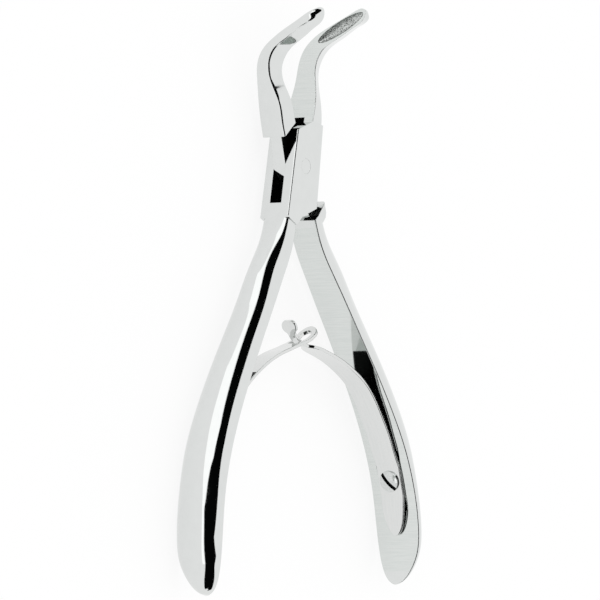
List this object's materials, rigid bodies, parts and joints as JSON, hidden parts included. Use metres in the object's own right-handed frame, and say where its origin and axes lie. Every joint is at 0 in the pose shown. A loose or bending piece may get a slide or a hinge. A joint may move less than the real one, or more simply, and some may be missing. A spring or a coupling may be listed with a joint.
{
  "type": "bone cutter",
  "caption": "Polished steel bone cutter with a box lock, spoon-tipped jaws bent forward, bowed half-round handles and two leaf springs hooked together between them.",
  "frame": {"origin": "on the pivot axis, in the plane of the box's flat back face", "axes": "+X along the tool toward the jaws, +Y across it toward the handle of the box half, +Z out of the box's front face, the way the jaws bend; the tool is stored open"},
  "size_m": [0.1509, 0.0966, 0.0257],
  "materials": {
    "forged_steel": "mirror-polished stainless forging, with matte grained cups",
    "pin_steel": "ground flush and polished with the box",
    "spring_steel": "polished stainless spring strip",
    "screw_steel": "turned and polished stainless screw head"
  },
  "bodies": {
    "box_half": {"box_half": "forged_steel", "pivot_pin": "pin_steel", "eye_leaf_screw": "screw_steel"},
    "cross_half": {"cross_half": "forged_steel", "hook_leaf_screw": "screw_steel"},
    "eye_leaf": {"eye_leaf": "spring_steel"},
    "hook_leaf": {"hook_leaf": "spring_steel"}
  },
  "joints": [
    {"name": "pivot", "type": "hinge", "parent": "box_half", "child": "cross_half", "pos_m": [0, 0, 0.0046], "axis": [0, 0, -1], "range_deg": [0, 26], "stiffness_Nm_per_rad": 2.5, "deforming": ["eye_leaf", "hook_leaf"]},
    {"name": "eye_leaf_flex", "type": "hinge", "parent": "box_half", "child": "eye_leaf", "pos_m": [-0.0679, 0.0348, 0.0046], "axis": [0, 0, 1], "range_deg": [0, 18], "deforming": ["eye_leaf", "hook_leaf"]},
    {"name": "hook_leaf_flex", "type": "hinge", "parent": "cross_half", "child": "hook_leaf", "pos_m": [-0.0679, -0.0348, 0.0046], "axis": [0, 0, -1], "range_deg": [0, 18], "deforming": ["eye_leaf", "hook_leaf"]}
  ],
  "couplings": [
    {"joint": "eye_leaf_flex", "follows": "pivot", "ratio": 0.685},
    {"joint": "hook_leaf_flex", "follows": "pivot", "ratio": 0.685}
  ]
}
